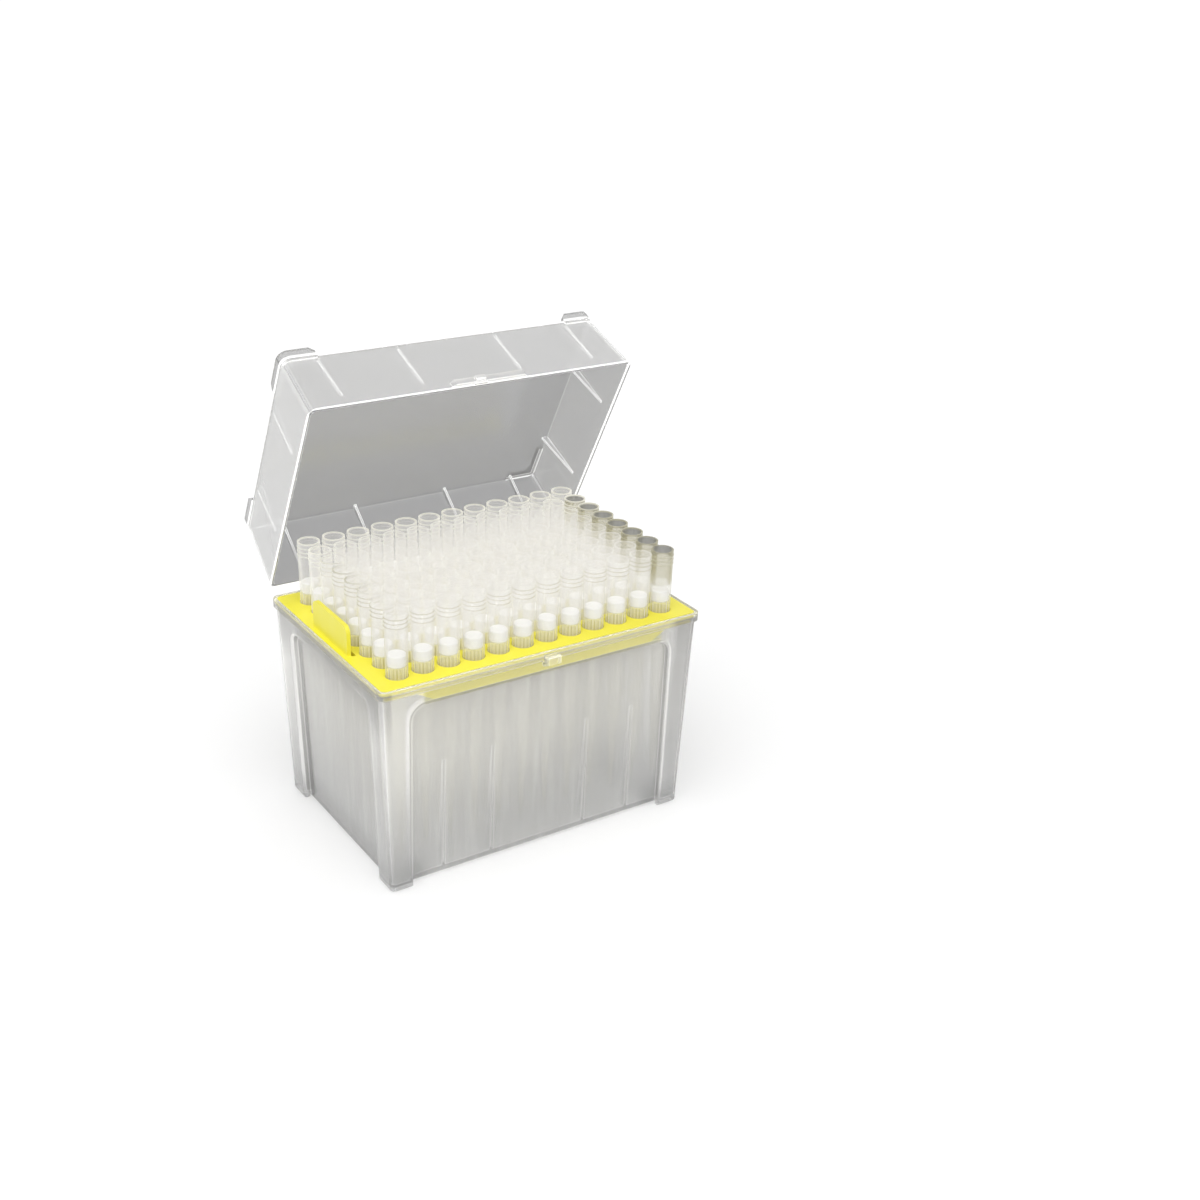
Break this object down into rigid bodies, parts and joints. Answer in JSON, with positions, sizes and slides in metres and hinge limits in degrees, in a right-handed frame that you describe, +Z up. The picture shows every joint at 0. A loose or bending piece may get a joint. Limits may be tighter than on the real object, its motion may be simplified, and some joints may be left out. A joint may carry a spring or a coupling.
{
  "type": "pipette tip box",
  "caption": "Hinged rack box holding a grid of filter pipette tips in a yellow tray, with a clear lid that swings open on the back edge and latches at the front.",
  "frame": {"origin": "under the middle of the tip grid, on the plane the feet stand on", "axes": "+X along the long side, with the grip tab at -X; +Y from the latch to the hinge; +Z up, along the tips towards their open mouths"},
  "size_m": [0.12, 0.1116, 0.1615],
  "materials": {
    "frosted_box": "frosted translucent polypropylene",
    "yellow_tray": "satin opaque lemon yellow polypropylene",
    "clear_lid": "clear, slightly cloudy polypropylene",
    "clear_tip": "clear, slightly milky polypropylene",
    "white_filter": "white porous sintered polyethylene"
  },
  "bodies": {
    "box": {"base_box": "frosted_box", "tip_tray": "yellow_tray", "tips_column_01": "clear_tip", "tips_column_02": "clear_tip", "tips_column_03": "clear_tip", "tips_column_04": "clear_tip", "tips_column_05": "clear_tip", "tips_column_06": "clear_tip", "tips_column_07": "clear_tip", "tips_column_08": "clear_tip", "tips_column_09": "clear_tip", "tips_column_10": "clear_tip", "tips_column_11": "clear_tip", "tips_column_12": "clear_tip", "filters_column_01": "white_filter", "filters_column_02": "white_filter", "filters_column_03": "white_filter", "filters_column_04": "white_filter", "filters_column_05": "white_filter", "filters_column_06": "white_filter", "filters_column_07": "white_filter", "filters_column_08": "white_filter", "filters_column_09": "white_filter", "filters_column_10": "white_filter", "filters_column_11": "white_filter", "filters_column_12": "white_filter"},
    "lid": {"lid": "clear_lid"}
  },
  "joints": [
    {"name": "lid_hinge", "type": "hinge", "parent": "box", "child": "lid", "pos_m": [0, 0.0443, 0.0736], "axis": [-1, 0, 0], "range_deg": [-62, 45]}
  ]
}
